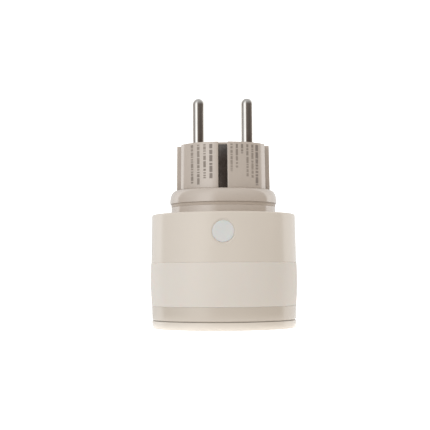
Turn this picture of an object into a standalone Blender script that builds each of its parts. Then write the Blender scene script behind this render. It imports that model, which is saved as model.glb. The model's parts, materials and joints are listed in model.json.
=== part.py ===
"""Plug-in power meter for outdoor use: a mains plug with a metered, switched socket under a hinged lid.

The pins point up (+Z) and the object stands on its lid. The button faces -Y and the lid's hinge is at +Y.
Every size below is in millimetres. MM turns them into Blender's metres when a mesh is made.
"""

import math

import bmesh
import bpy
from mathutils import Matrix, Vector

MM = 0.001
GAP = 0.3  # clearance between pieces that rest on each other

# Steps round a turned piece
ROUND = 48
MEDIUM = 28
SMALL = 16

# Heights of the stacked housing, from the lid's outer face
LID_TOP = 3.0
RING_LOW = 3.4
RING_TOP = 8.4
BAND_LOW = RING_TOP + GAP
BAND_TOP = 25.05
HOUSING_LOW = BAND_TOP + GAP
SHOULDER = 43.8
NECK_TOP = 46.4
FLANGE_LOW = 47.9
FLANGE_TOP = 53.1
HEAD_TOP = 70.55
PIN_TIP = HEAD_TOP + 19.0

# Radii of the housing
LID_R = 27.95
RING_LOW_R, RING_TOP_R = 27.9, 28.02
BAND_PROFILE = ((28.08, 9.5), (28.2, 11.0), (28.38, 14.0), (28.48, 18.2), (28.44, 21.6), (28.33, 24.4))
HOUSING_LOW_R, HOUSING_TOP_R = 28.22, 27.86
HOUSING_IN_LOW_R, HOUSING_IN_TOP_R = 26.0, 25.7
SHOULDER_WALL = 1.8
BAND_IN_R = 26.5
NECK_R, NECK_IN_R = 20.33, 18.6
FLANGE_R = 20.8
HEAD_R = 18.3
HEAD_TAPER = 0.988

# Plug head
HEAD_FLAT_X = 16.25
RIB_Y = 2.4
CAVITY_R, CAVITY_X, CAVITY_Y = 16.3, 14.4, 14.0
HEAD_ROOF = 1.9
PIN_R, PIN_X = 2.4, 9.5
EARTH_SLOT_X, EARTH_SLOT_FLOOR = 1.75, 15.6
EARTH_HOLE_Y, EARTH_HOLE_R = 10.0, 3.3
EARTH_SLEEVE_BORE = 2.95

# Socket recess, for a plug head of 39 mm
RECESS_R, CUP_R = 19.5, 21.3
RIM_Z = 4.6
FLOOR_LOW, FLOOR_TOP = 22.1, 24.3
CONTACT_HOLE_R = 3.0
PAD_X, PAD_IN_Y, PAD_OUT_Y = 16.6, 2.8, 7.4

# Screws through the ring into the housing's bosses
SCREW_CIRCLE = 24.4
SCREW_ANGLES = (45, 135, 225, 315)
BOSS_R, SCREW_R, SCREW_HEAD_R = 1.7, 1.0, 1.45

# Lid hinge, which runs along X
HINGE_Y, HINGE_Z = 25.6, 4.6
BARREL_R, HINGE_PIN_R, HINGE_BORE_R = 1.8, 0.75, 1.05
TONGUE_X, LUG_IN_X, LUG_OUT_X, HINGE_NOTCH_X = 4.6, 4.9, 7.6, 8.0
SPRING_GAP_X = 2.7
LID_CHORD_Y = 24.2

# Button, on an axis along Y
BUTTON_Z = 36.4
BUTTON_R, BUTTON_HOLE_R, BUTTON_RIM_R = 4.0, 4.3, 4.9
BUTTON_FACE_Y = -28.0

# Boards
PCB_LOW, PCB_TOP, PCB_R = 39.0, 40.6, 21.2
COMPONENT_LOW = 27.4

MATERIALS = {
    # slot: (colour, roughness, metallic)
    "body_plastic": ((0.68, 0.61, 0.53), 0.30, 0.0),
    "head_plastic": ((0.52, 0.44, 0.37), 0.30, 0.0),
    "band_plastic": ((0.74, 0.67, 0.58), 0.50, 0.0),
    "button_plastic": ((0.72, 0.72, 0.70), 0.40, 0.0),
    "socket_plastic": ((0.66, 0.60, 0.52), 0.40, 0.0),
    "inner_plastic": ((0.10, 0.10, 0.11), 0.55, 0.0),
    "seal_rubber": ((0.42, 0.38, 0.33), 0.75, 0.0),
    "pin_nickel": ((0.72, 0.70, 0.66), 0.18, 1.0),
    "earth_metal": ((0.30, 0.29, 0.27), 0.35, 1.0),
    "contact_brass": ((0.75, 0.58, 0.28), 0.30, 1.0),
    "spring_steel": ((0.60, 0.60, 0.61), 0.30, 1.0),
    "board_green": ((0.03, 0.22, 0.10), 0.50, 0.0),
    "relay_blue": ((0.05, 0.14, 0.42), 0.45, 0.0),
    "component_black": ((0.03, 0.03, 0.035), 0.50, 0.0),
    "film_yellow": ((0.70, 0.52, 0.06), 0.45, 0.0),
    "can_aluminium": ((0.62, 0.63, 0.64), 0.30, 1.0),
    "led_white": ((0.85, 0.85, 0.80), 0.30, 0.0),
}


# ---------------------------------------------------------------- building blocks


def material(slot):
    found = bpy.data.materials.get(slot)
    if found:
        return found
    colour, roughness, metallic = MATERIALS[slot]
    made = bpy.data.materials.new(slot)
    made.use_nodes = True
    shader = made.node_tree.nodes["Principled BSDF"]
    shader.inputs["Base Color"].default_value = (*colour, 1.0)
    shader.inputs["Roughness"].default_value = roughness
    shader.inputs["Metallic"].default_value = metallic
    return made


def placed(name, bm, slot):
    """Cleans up a bmesh and links it into the scene as an object."""
    bmesh.ops.remove_doubles(bm, verts=bm.verts, dist=1e-7)
    bmesh.ops.dissolve_degenerate(bm, edges=bm.edges, dist=1e-7)
    bmesh.ops.recalc_face_normals(bm, faces=bm.faces)
    mesh = bpy.data.meshes.new(name)
    bm.to_mesh(mesh)
    bm.free()
    mesh.shade_smooth()
    mesh.set_sharp_from_angle(angle=math.radians(30))
    obj = bpy.data.objects.new(name, mesh)
    bpy.context.scene.collection.objects.link(obj)
    if slot:
        mesh.materials.append(material(slot))
    return obj


def turned(name, profile, slot=None, steps=ROUND):
    """A profile of (radius, height) turned about Z. It is a loop, or runs from axis to axis."""
    bm = bmesh.new()
    points = [bm.verts.new((r * MM, 0, z * MM)) for r, z in profile]
    pairs = list(zip(points, points[1:]))
    if min(r for r, _ in profile) > 0:
        pairs.append((points[-1], points[0]))
    edges = [bm.edges.new(pair) for pair in pairs]
    bmesh.ops.spin(
        bm,
        geom=points + edges,
        cent=(0, 0, 0),
        axis=(0, 0, 1),
        angle=2 * math.pi,
        steps=steps,
        use_merge=True,
    )
    return placed(name, bm, slot)


def prism(name, outline, low, high, slot=None, taper=1.0):
    """An outline of (x, y) raised from low to high, its top scaled by taper."""
    bm = bmesh.new()
    base = bm.faces.new([bm.verts.new((x * MM, y * MM, low * MM)) for x, y in outline])
    raised = bmesh.ops.extrude_face_region(bm, geom=[base])["geom"]
    top = [v for v in raised if isinstance(v, bmesh.types.BMVert)]
    for v in top:
        v.co = Vector((v.co.x * taper, v.co.y * taper, high * MM))
    return placed(name, bm, slot)


def prism_x(name, profile, x0, x1, slot=None):
    """A profile of (y, z) extruded along X from x0 to x1."""
    bm = bmesh.new()
    base = bm.faces.new([bm.verts.new((x0 * MM, y * MM, z * MM)) for y, z in profile])
    raised = bmesh.ops.extrude_face_region(bm, geom=[base])["geom"]
    far = [v for v in raised if isinstance(v, bmesh.types.BMVert)]
    bmesh.ops.translate(bm, vec=((x1 - x0) * MM, 0, 0), verts=far)
    return placed(name, bm, slot)


def block(name, low, high, slot=None, bevel=0.0):
    """A box between two corners, its edges bevelled by a modifier if asked."""
    (x0, y0, z0), (x1, y1, z1) = low, high
    obj = prism(name, ((x0, y0), (x1, y0), (x1, y1), (x0, y1)), z0, z1, slot)
    if bevel:
        edge = obj.modifiers.new("edge", "BEVEL")
        edge.width = bevel * MM
        edge.segments = 1
    return obj


def rod(name, start, end, radius, slot=None, steps=SMALL):
    """A straight round rod between two points."""
    a, b = Vector(start) * MM, Vector(end) * MM
    turn = (b - a).to_track_quat("Z", "Y").to_matrix().to_4x4()
    bm = bmesh.new()
    bmesh.ops.create_cone(
        bm,
        cap_ends=True,
        segments=steps,
        radius1=radius * MM,
        radius2=radius * MM,
        depth=(b - a).length,
        matrix=Matrix.Translation((a + b) / 2) @ turn,
    )
    return placed(name, bm, slot)


def turned_y(name, profile, z, slot=None, steps=MEDIUM):
    """A profile of (radius, y) turned about the line along Y at height z."""
    obj = turned(name, profile, slot, steps)
    stand = Matrix.Translation((0, 0, z * MM)) @ Matrix.Rotation(math.radians(-90), 4, "X")
    obj.data.transform(stand)
    return obj


def wire(name, points, radius, slot):
    """A round wire through the points, as a curve with filled ends."""
    curve = bpy.data.curves.new(name, "CURVE")
    curve.dimensions = "3D"
    curve.bevel_depth = radius * MM
    curve.bevel_resolution = 1
    curve.use_fill_caps = True
    spline = curve.splines.new("POLY")
    spline.points.add(len(points) - 1)
    for spot, (x, y, z) in zip(spline.points, points):
        spot.co = (x * MM, y * MM, z * MM, 1)
    obj = bpy.data.objects.new(name, curve)
    bpy.context.scene.collection.objects.link(obj)
    curve.materials.append(material(slot))
    return obj


def boolean(obj, other, operation):
    step = obj.modifiers.new(other.name, "BOOLEAN")
    step.operation = operation
    step.solver = "EXACT"
    step.object = other
    other.hide_render = True
    other.display_type = "WIRE"
    return obj


def cut(obj, *cutters):
    for cutter in cutters:
        boolean(obj, cutter, "DIFFERENCE")
    return obj


def join(obj, *others):
    for other in others:
        boolean(obj, other, "UNION")
    return obj


def arc(centre, radius, start, end, count):
    """Points on an arc, angles in degrees, both ends included."""
    angles = [math.radians(start + (end - start) * i / count) for i in range(count + 1)]
    return [(centre[0] + radius * math.cos(a), centre[1] + radius * math.sin(a)) for a in angles]


def polar(radius, degrees):
    return radius * math.cos(math.radians(degrees)), radius * math.sin(math.radians(degrees))


def strip(path, thickness):
    """The outline of a bent strip whose middle follows the path of (y, z) points."""
    sides = ([], [])
    for i, point in enumerate(path):
        before = Vector(path[max(i - 1, 0)])
        after = Vector(path[min(i + 1, len(path) - 1)])
        along = (after - before).normalized()
        across = Vector((-along.y, along.x)) * thickness / 2
        sides[0].append(tuple(Vector(point) + across))
        sides[1].append(tuple(Vector(point) - across))
    return sides[0] + sides[1][::-1]


def pivot(name, x, y, z):
    """An empty on a joint's axis, which carries the pieces that move about it."""
    empty = bpy.data.objects.new(name, None)
    empty.location = (x * MM, y * MM, z * MM)
    empty.empty_display_size = 0.004
    bpy.context.scene.collection.objects.link(empty)
    return empty


def carry(empty, *pieces):
    for piece in pieces:
        piece.data.transform(Matrix.Translation(-empty.location))
        piece.parent = empty


# ---------------------------------------------------------------- plug head


def head_outline(grow=0.0):
    """A circle with a flat on each side and a guide rib in the middle of each flat."""
    radius, flat, rib = HEAD_R + grow, HEAD_FLAT_X + grow, RIB_Y + grow
    corner = math.degrees(math.acos(flat / radius))
    rib_end = math.degrees(math.asin(rib / radius))
    right = [(flat, -rib), *arc((0, 0), radius, -rib_end, rib_end, 2), (flat, rib)]
    back = arc((0, 0), radius, corner, 180 - corner, 18)
    half = right + back
    return half + [(-x, -y) for x, y in half]


def cavity_outline(radius, flat_x, flat_y):
    """A circle cut by two pairs of flats."""
    side = math.degrees(math.acos(flat_x / radius))
    end = math.degrees(math.asin(flat_y / radius))
    quarter = arc((0, 0), radius, side, end, 3)
    top = quarter + [(-x, y) for x, y in quarter[::-1]]
    return top + [(-x, -y) for x, y in top]


def plug_head():
    rounding = arc((FLANGE_R - 2.1, FLANGE_TOP - 4.2), 1.0, 0, 90, 6)
    shoulder = [
        (FLANGE_R - 2.1 + 2.1 * (r - FLANGE_R + 2.1), FLANGE_TOP - 4.2 + 4.2 * (z - FLANGE_TOP + 4.2))
        for r, z in rounding
    ]
    spigot_r = NECK_IN_R - GAP
    profile = [(0, 43.0), (spigot_r, 43.0), (spigot_r, FLANGE_LOW), (FLANGE_R, FLANGE_LOW)]
    head = turned("plug_head", profile + shoulder + [(0, FLANGE_TOP)], "head_plastic")
    join(head, prism("head_block", head_outline(), FLANGE_TOP - 1, HEAD_TOP, taper=HEAD_TAPER))

    roof = HEAD_TOP - HEAD_ROOF
    cut(head, prism("head_cavity", cavity_outline(CAVITY_R, CAVITY_X, CAVITY_Y), 42, roof))
    well_low = roof - 13.5
    well = rod("earth_well", (0, EARTH_HOLE_Y, well_low), (0, EARTH_HOLE_Y, roof + 0.5), EARTH_HOLE_R + 1)
    join(head, well)
    cut(head, rod("earth_bore", (0, EARTH_HOLE_Y, well_low - 1), (0, EARTH_HOLE_Y, 80), EARTH_HOLE_R))
    for side in (-1, 1):
        x = side * PIN_X
        cut(head, rod(f"pin_hole_{side}", (x, 0, roof - 1), (x, 0, 80), PIN_R + GAP))
        near, far = sorted((side * EARTH_SLOT_FLOOR, side * 21.0))
        cut(head, block(f"earth_slot_{side}", (-EARTH_SLOT_X, near, FLANGE_TOP), (EARTH_SLOT_X, far, 80)))
        near, far = sorted((side * 13.0, side * 17.0))
        cut(head, block(f"tail_window_{side}", (-EARTH_SLOT_X, near, 54.4), (EARTH_SLOT_X, far, 55.6)))
    return head


def pins():
    """Solid round pins with a domed tip and a collar under the carrier."""
    dome = arc((0, PIN_TIP - PIN_R), PIN_R, 0, 90, 4)
    root = [(0, 57.3), (PIN_R, 57.3), (PIN_R, 60.0), (3.4, 60.0), (3.4, 61.7), (PIN_R, 61.7)]
    profile = [*root, *dome[:-1], (0, PIN_TIP)]
    for name, x in (("live_pin", -PIN_X), ("neutral_pin", PIN_X)):
        turned(name, profile, "pin_nickel", 20).location.x = x * MM


def pin_carrier():
    inset = 0.4
    outline = cavity_outline(CAVITY_R - inset, CAVITY_X - inset, CAVITY_Y - inset)
    carrier = prism("pin_carrier", outline, 62.0, 66.0, "inner_plastic")
    for side in (-1, 1):
        x = side * PIN_X
        cut(carrier, rod(f"carrier_hole_{side}", (x, 0, 61), (x, 0, 67), PIN_R + GAP))
    well = rod("carrier_well_hole", (0, EARTH_HOLE_Y, 61), (0, EARTH_HOLE_Y, 67), EARTH_HOLE_R + 1 + GAP)
    passage = block("carrier_well_mouth", (-3.0, 11.5, 61), (3.0, 15.0, 67))
    return cut(carrier, well, passage)


def head_earth_parts():
    """The two side contacts, the sleeve for an earth pin, and the bridge that ties them together."""
    face = EARTH_SLOT_FLOOR + GAP
    for name, side in (("earth_contact_front", -1), ("earth_contact_back", 1)):
        profile = [
            (12.4, 54.7),
            (face + 0.7, 54.7),
            (face + 0.7, HEAD_TOP - 1.2),
            (face + 0.4, HEAD_TOP - 0.8),
            (face, HEAD_TOP - 0.8),
            (face, 55.3),
            (12.4, 55.3),
        ]
        prism_x(name, [(side * y, z) for y, z in profile], -1.5, 1.5, "earth_metal")
    bore, wall = EARTH_SLEEVE_BORE, EARTH_SLEEVE_BORE + 0.25
    profile = [(bore, 57.0), (wall, 57.0), (wall, 69.8), (bore, 69.8)]
    sleeve = turned("earth_sleeve", profile, "contact_brass", SMALL)
    sleeve.location.y = EARTH_HOLE_Y * MM
    block("earth_bridge", (-1.6, -13.3, 53.6), (1.6, 13.3, 54.4), "contact_brass")


def busbars():
    """Bent strips that take the current from the pins' roots down to the main board."""
    for name, side in (("live_busbar", -1), ("neutral_busbar", 1)):
        path = [(7.0, 56.6), (13.0, 56.6), (13.4, 56.2), (13.4, 41.6), (13.8, 41.2), (16.0, 41.2)]
        outline = strip(path, 0.6)
        bar = prism_x(name, [(side * x, z) for x, z in outline], -2.0, 2.0, "contact_brass")
        bar.data.transform(Matrix.Rotation(math.radians(-90), 4, "Z"))


# ---------------------------------------------------------------- housing


def rear_housing():
    """The shell above the light band: wall and shoulder, with four screw bosses inside."""
    groove = [(27.5, HOUSING_LOW), (27.5, 26.2), (26.5, 26.2), (26.5, HOUSING_LOW)]
    corner = arc((HOUSING_TOP_R - 0.6, SHOULDER - 0.6), 0.6, 0, 90, 3)
    profile = [
        *groove[::-1],
        (HOUSING_LOW_R, HOUSING_LOW),
        *corner,
        (NECK_IN_R, SHOULDER),
        (NECK_IN_R, SHOULDER - SHOULDER_WALL),
        (HOUSING_IN_TOP_R, SHOULDER - SHOULDER_WALL),
        (HOUSING_IN_LOW_R, HOUSING_LOW),
    ]
    shell = turned("rear_housing", profile, "body_plastic")
    for angle in SCREW_ANGLES:
        x, y = polar(SCREW_CIRCLE, angle)
        join(shell, rod(f"boss_{angle}", (x, y, BAND_LOW), (x, y, 42.6), BOSS_R, steps=12))
    for angle in SCREW_ANGLES:
        x, y = polar(SCREW_CIRCLE, angle)
        cut(shell, rod(f"boss_bore_{angle}", (x, y, 8), (x, y, 23), SCREW_R + 0.2, steps=12))
    rim = turned_y(
        "button_opening",
        [
            (0, -30),
            (BUTTON_RIM_R + 0.9, -30),
            (BUTTON_RIM_R, -28.05),
            (BUTTON_HOLE_R, -27.1),
            (BUTTON_HOLE_R, -20),
            (0, -20),
        ],
        BUTTON_Z,
    )
    return cut(shell, rim)


def neck_ring():
    """The ring between the shoulder and the flange, round the plug head's spigot."""
    low, high, edge = SHOULDER + GAP, NECK_TOP, 0.15
    rim = [(NECK_R, low), (NECK_R, high - edge), (NECK_R - edge, high)]
    return turned("neck_ring", [(NECK_IN_R, low), *rim, (NECK_IN_R, high)], "head_plastic")


def light_band():
    outer = [(28.02, BAND_LOW), *BAND_PROFILE, (28.3, BAND_TOP)]
    return turned("light_band", [(BAND_IN_R, BAND_LOW), *outer, (BAND_IN_R, BAND_TOP)], "band_plastic")


def seals():
    """Square rings in the grooves above and below the light band, and one under the plug head."""
    for name, low in (("upper_seal", HOUSING_LOW), ("lower_seal", RING_TOP - 0.55)):
        high = low + 0.55
        turned(name, [(26.8, low), (27.3, low), (27.3, high), (26.8, high)], "seal_rubber", 32)
    low, high = NECK_TOP + GAP, FLANGE_LOW - GAP
    rim = [(18.9, low), (20.4, low), (20.55, low + 0.3), (20.4, high), (18.9, high)]
    turned("head_seal", rim, "seal_rubber")


def front_ring():
    """The ring round the socket: outer wall, screw land, inner lip and the hinge lugs."""
    groove = [(27.5, RING_TOP), (27.5, 7.55), (26.5, 7.55), (26.5, RING_TOP)]
    chamfer = 0.35
    profile = [
        (21.7, 6.4),
        (22.5, 6.4),
        (22.5, RIM_Z),
        (26.2, RIM_Z),
        (26.2, RING_LOW),
        (RING_LOW_R - chamfer, RING_LOW),
        (RING_LOW_R, RING_LOW + chamfer),
        (RING_TOP_R, RING_TOP),
        *groove,
        (21.7, RING_TOP),
    ]
    ring = turned("front_ring", profile, "body_plastic")
    notch = block("hinge_notch", (-HINGE_NOTCH_X, 23.0, 2.0), (HINGE_NOTCH_X, 30.0, 6.75))
    cut(ring, notch)
    lug = [
        (HINGE_Y - BARREL_R, 7.2),
        *arc((HINGE_Y, HINGE_Z), BARREL_R, 180, 360, 8),
        (HINGE_Y + BARREL_R - 0.6, 7.2),
    ]
    for side in (-1, 1):
        join(ring, prism_x(f"lug_{side}", lug, *sorted((side * LUG_IN_X, side * LUG_OUT_X))))
    bore_x = LUG_OUT_X + GAP
    cut(ring, rod("lug_bore", (-bore_x, HINGE_Y, HINGE_Z), (bore_x, HINGE_Y, HINGE_Z), HINGE_BORE_R, steps=12))
    for angle in SCREW_ANGLES:
        x, y = polar(SCREW_CIRCLE, angle)
        cut(
            ring,
            rod(f"counterbore_{angle}", (x, y, 4), (x, y, 6.8), SCREW_HEAD_R + 0.2, steps=12),
            rod(f"screw_hole_{angle}", (x, y, 4), (x, y, 9), SCREW_R + 0.2, steps=12),
        )
    return ring


def housing_screws():
    head, point = 5.0, 21.5
    profile = [
        (0, head + 0.6),
        (0.7, head + 0.6),
        (0.7, head),
        (SCREW_HEAD_R - 0.2, head),
        (SCREW_HEAD_R, head + 0.3),
        (SCREW_HEAD_R, 6.4),
        (SCREW_R, 6.4),
        (SCREW_R, point - 1),
        (0, point),
    ]
    for number, angle in enumerate(SCREW_ANGLES, 1):
        screw = turned(f"housing_screw_{number}", profile, "spring_steel", 12)
        x, y = polar(SCREW_CIRCLE, angle)
        screw.location = (x * MM, y * MM, 0)


# ---------------------------------------------------------------- socket


def socket_cup():
    """The socket recess with its guide pads, shutter rails and slots for the earth clips."""
    profile = [
        (RECESS_R, RIM_Z),
        (22.2, RIM_Z),
        (22.2, 6.1),
        (CUP_R, 6.1),
        (CUP_R, FLOOR_TOP),
        (0, FLOOR_TOP),
    ]
    cup = turned("socket_cup", [(0, FLOOR_LOW), (RECESS_R, FLOOR_LOW), *profile], "socket_plastic")
    for side in (-1, 1):
        for half in (-1, 1):
            near, far = sorted((half * PAD_IN_Y, half * PAD_OUT_Y))
            left, right = sorted((side * PAD_X, side * 19.8))
            join(cup, block(f"guide_pad_{side}_{half}", (left, near, 5.8), (right, far, 23.0)))
        left, right = sorted((side * 13.7, side * 14.7))
        join(cup, block(f"shutter_rail_{side}", (left, -4.2, 23.8), (right, 10.6, 26.0)))
    join(cup, block("spring_stop", (-1.6, 9.3, 23.8), (1.6, 10.4, 26.0)))
    for side in (-1, 1):
        x = side * PIN_X
        cut(cup, rod(f"contact_hole_{side}", (x, 0, 20), (x, 0, 26), CONTACT_HOLE_R))
        near, far = sorted((side * 17.4, side * 19.3))
        cut(cup, block(f"clip_slot_{side}", (-1.9, near, 20), (1.9, far, 26)))
    return cup


def earth_clips():
    """Sprung strips whose noses press on a plug's side contacts, and the strap between them."""
    path = [
        (13.4, 25.3),
        (18.0, 25.3),
        (18.4, 24.9),
        (18.4, 18.0),
        (17.3, 15.2),
        (16.2, 12.8),
        (15.9, 11.6),
        (16.2, 10.4),
        (17.6, 8.0),
        (18.5, 6.8),
    ]
    outline = strip(path, 0.5)
    for name, side in (("earth_clip_front", -1), ("earth_clip_back", 1)):
        prism_x(name, [(side * y, z) for y, z in outline], -1.5, 1.5, "spring_steel")
    band = arc((0, 0), 19.2, -94, 94, 24) + arc((0, 0), 17.6, 94, -94, 24)
    prism("earth_strap", band, 26.1, 26.7, "contact_brass")
    riser = strip([(17.6, 27.3), (17.6, 41.6), (17.2, 42.0), (13.9, 42.0), (13.5, 42.4), (13.5, 53.2)], 0.6)
    prism_x("earth_riser", riser, -2.0, 2.0, "contact_brass")


def contact_carrier():
    """Holds the socket's two sleeves in deep wells above the shutter."""
    base = block("contact_carrier", (-15.4, -5.6, 26.3), (15.4, 5.6, 28.3), "inner_plastic")
    for side in (-1, 1):
        x = side * PIN_X
        join(base, rod(f"well_{side}", (x, 0, 27.0), (x, 0, 40.5), 4.8, steps=20))
    for side in (-1, 1):
        x = side * PIN_X
        cut(
            base,
            rod(f"well_bore_{side}", (x, 0, 28.3), (x, 0, 42.0), 3.7, steps=20),
            rod(f"well_mouth_{side}", (x, 0, 25.0), (x, 0, 29.0), CONTACT_HOLE_R, steps=20),
        )
    return base


def contacts():
    """Slit brass sleeves that grip a plug's pins, each with a tab to the main board."""
    for name, side in (("live_contact", -1), ("neutral_contact", 1)):
        sleeve = turned(name, [(2.6, 28.6), (3.4, 28.6), (3.4, 41.4), (2.6, 41.4)], "contact_brass", 20)
        sleeve.location.x = side * PIN_X * MM
        x = side * PIN_X
        join(sleeve, block(f"{name}_tab", (x - 1.5, -9.0, 40.9), (x + 1.5, -2.9, 41.4)))
        cut(sleeve, block(f"{name}_slit", (x - 0.5, 1.5, 28.0), (x + 0.5, 5.0, 39.0)))


def child_shutter():
    """A slide that covers both contact holes. A pin's push on its slopes moves it to +Y."""
    slope = [(-3.4, 25.9), (-3.4, 25.5), (3.4, 24.6), (3.4, 25.9)]
    shutter = prism_x("child_shutter", slope, -13.3, -5.7, "inner_plastic")
    join(shutter, prism_x("shutter_pad", slope, 5.7, 13.3))
    return join(shutter, block("shutter_bar", (-6.5, -3.1, 25.2), (6.5, -0.7, 25.8)))


def shutter_spring():
    turns, per_turn, start, end = 6, 6, -0.3, 9.0
    count = turns * per_turn
    points = []
    for i in range(count + 1):
        angle = 2 * math.pi * i / per_turn
        y = start + 0.2 + (end - start - 0.4) * i / count
        points.append((0.5 * math.cos(angle), y, 25.25 + 0.5 * math.sin(angle)))
    return wire("shutter_spring", points, 0.15, "spring_steel")


# ---------------------------------------------------------------- electronics


def main_board():
    edge = math.degrees(math.asin(17.2 / PCB_R))
    board = prism("main_board", arc((0, 0), PCB_R, -edge, 180 + edge, 40), PCB_LOW, PCB_TOP, "board_green")
    for side in (-1, 1):
        x = side * PIN_X
        cut(board, rod(f"board_hole_{side}", (x, 0, 38), (x, 0, 42), 5.1, steps=20))
    return cut(board, block("riser_slot", (-2.4, 16.9, 38), (2.4, 18.3, 42)))


def board_components():
    below, above = PCB_LOW - GAP, PCB_TOP + GAP
    block("relay", (-12.4, 6.2, COMPONENT_LOW), (12.4, 16.0, below), "relay_blue", bevel=0.4)
    block("suppression_capacitor", (-13.6, -13.8, COMPONENT_LOW), (-1.0, -7.8, below), "film_yellow", bevel=0.5)
    block("transformer", (1.0, -15.6, COMPONENT_LOW + 1), (12.4, -6.2, below), "component_black", bevel=0.5)
    rod("bulk_capacitor", (0, -9.6, above), (0, -9.6, 53.0), 4.0, "can_aluminium", 24)
    rod("filter_capacitor", (-8.4, -9.4, above + 0.6), (-8.4, -9.4, 51.0), 3.1, "can_aluminium", 20)
    rod("varistor", (7.0, -9.0, 45.6), (9.8, -9.0, 45.6), 3.4, "relay_blue", 20)
    rod("fuse", (-5.0, 5.3, 42.4), (5.0, 5.3, 42.4), 1.3, "film_yellow", 12)
    block("wireless_module", (-7.6, 8.4, above), (7.6, 10.8, 52.8), "can_aluminium", bevel=0.3)
    block("metering_shunt", (-2.6, -3.4, above), (2.6, -1.4, above + 0.7), "contact_brass")


def lights():
    """A ring of board round the socket, open where the screw bosses pass, with four lights under it."""
    board = turned("light_board", [(21.75, 22.6), (26.0, 22.6), (26.0, 23.4), (21.75, 23.4)], "board_green")
    for angle in SCREW_ANGLES:
        x, y = polar(SCREW_CIRCLE, angle)
        cut(board, rod(f"boss_passage_{angle}", (x, y, 22), (x, y, 24), BOSS_R + GAP, steps=12))
    for number, middle in enumerate((270, 0, 90, 180), 1):
        light = block(f"light_{number}", (-1.75, -1.4, 20.9), (1.75, 1.4, 22.3), "led_white")
        x, y = polar(23.8, middle)
        light.location = (x * MM, y * MM, 0)
        light.rotation_euler.z = math.radians(middle - 90)


# ---------------------------------------------------------------- button


def button_seal_profile():
    """A thin cup of silicone that wraps the cap's flange, open in the middle for the stem."""
    return [(1.5, -24.1), (5.1, -24.1), (5.1, -24.9), (5.6, -24.9), (5.6, -23.7), (1.5, -23.7)]


def button_group():
    cap_profile = [
        (0, BUTTON_FACE_Y),
        (2.2, BUTTON_FACE_Y + 0.04),
        (BUTTON_R - 0.35, BUTTON_FACE_Y + 0.2),
        (BUTTON_R, BUTTON_FACE_Y + 0.6),
        (BUTTON_R, -25.0),
        (4.8, -25.0),
        (4.8, -24.4),
        (1.2, -24.4),
        (1.2, -23.6),
        (0, -23.6),
    ]
    cap = turned_y("button_cap", cap_profile, BUTTON_Z, "button_plastic")
    seal = turned_y("button_seal", button_seal_profile(), BUTTON_Z, "seal_rubber", 24)
    carry(pivot("button_axis", 0, BUTTON_FACE_Y, BUTTON_Z), cap, seal)

    plunger = rod("switch_plunger", (0, -23.3, BUTTON_Z), (0, -21.4, BUTTON_Z), 1.6, "component_black")
    carry(pivot("plunger_axis", 0, -23.3, BUTTON_Z), plunger)
    switch = block("push_switch", (-3, -22.6, BUTTON_Z - 3), (3, -19.4, BUTTON_Z + 3), "can_aluminium")
    cut(switch, rod("switch_bore", (0, -24, BUTTON_Z), (0, -20.5, BUTTON_Z), 1.9))
    block("button_board", (-6.5, -19.1, 30.0), (6.5, -17.5, 41.4), "board_green")


# ---------------------------------------------------------------- lid


def lid():
    """The round lid, its gasket rib and the tongue that turns on the hinge pin."""
    fillet, chamfer = 1.2, 0.35
    edge = arc((LID_R - fillet, fillet), fillet, -90, 0, 5)
    profile = [
        (0, 0),
        *edge,
        (LID_R, LID_TOP - chamfer),
        (LID_R - chamfer, LID_TOP),
        (23.0, LID_TOP),
        (23.0, 4.2),
        (22.35, 4.2),
        (22.35, LID_TOP),
        (0, LID_TOP),
    ]
    plate = turned("lid", profile, "body_plastic")
    cut(plate, block("lid_chord", (-16, LID_CHORD_Y, -1), (16, 30, 6)))
    tongue = [
        (21.5, 0.25),
        (22.5, 0.0),
        (HINGE_Y - 0.9, 0.0),
        (HINGE_Y - 0.3, 0.25),
        *arc((HINGE_Y, HINGE_Z), BARREL_R, -20, 180, 9),
        (HINGE_Y - BARREL_R, LID_TOP),
        (21.5, LID_TOP),
    ]
    join(plate, prism_x("lid_tongue", tongue, -TONGUE_X, TONGUE_X))
    cut(
        plate,
        block("spring_room", (-SPRING_GAP_X, 23.3, 2.6), (SPRING_GAP_X, 29, 8)),
        rod("barrel_bore", (-8, HINGE_Y, HINGE_Z), (8, HINGE_Y, HINGE_Z), HINGE_BORE_R, steps=12),
    )
    return plate


def lid_group():
    plate = lid()
    gasket_low = LID_TOP + GAP
    gasket = turned(
        "lid_gasket",
        [(20.3, gasket_low), (22.05, gasket_low), (22.05, 4.0), (21.6, 4.3), (20.7, 4.3), (20.3, 4.0)],
        "seal_rubber",
        40,
    )
    carry(pivot("lid_axis", 0, HINGE_Y, HINGE_Z), plate, gasket)
    end = LUG_OUT_X - 0.2
    rod("hinge_pin", (-end, HINGE_Y, HINGE_Z), (end, HINGE_Y, HINGE_Z), HINGE_PIN_R, "spring_steel", 12)


def lid_spring():
    """A torsion spring round the hinge pin, one leg on the lid and one on the ring."""
    coil_r, wire_r, turns, per_turn = 1.3, 0.2, 5, 8
    points = [(-2.1, 23.7, 3.1), (-2.1, HINGE_Y - 0.4, HINGE_Z - coil_r)]
    for i in range(turns * per_turn + 1):
        angle = math.radians(270 + 360 * i / per_turn)
        x = -2.1 + 4.2 * i / (turns * per_turn)
        points.append((x, HINGE_Y + coil_r * math.cos(angle), HINGE_Z + coil_r * math.sin(angle)))
    points += [(2.1, HINGE_Y + 1.2, 3.6), (2.1, HINGE_Y + 1.45, 6.2)]
    return wire("lid_spring", points, wire_r, "spring_steel")


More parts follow.
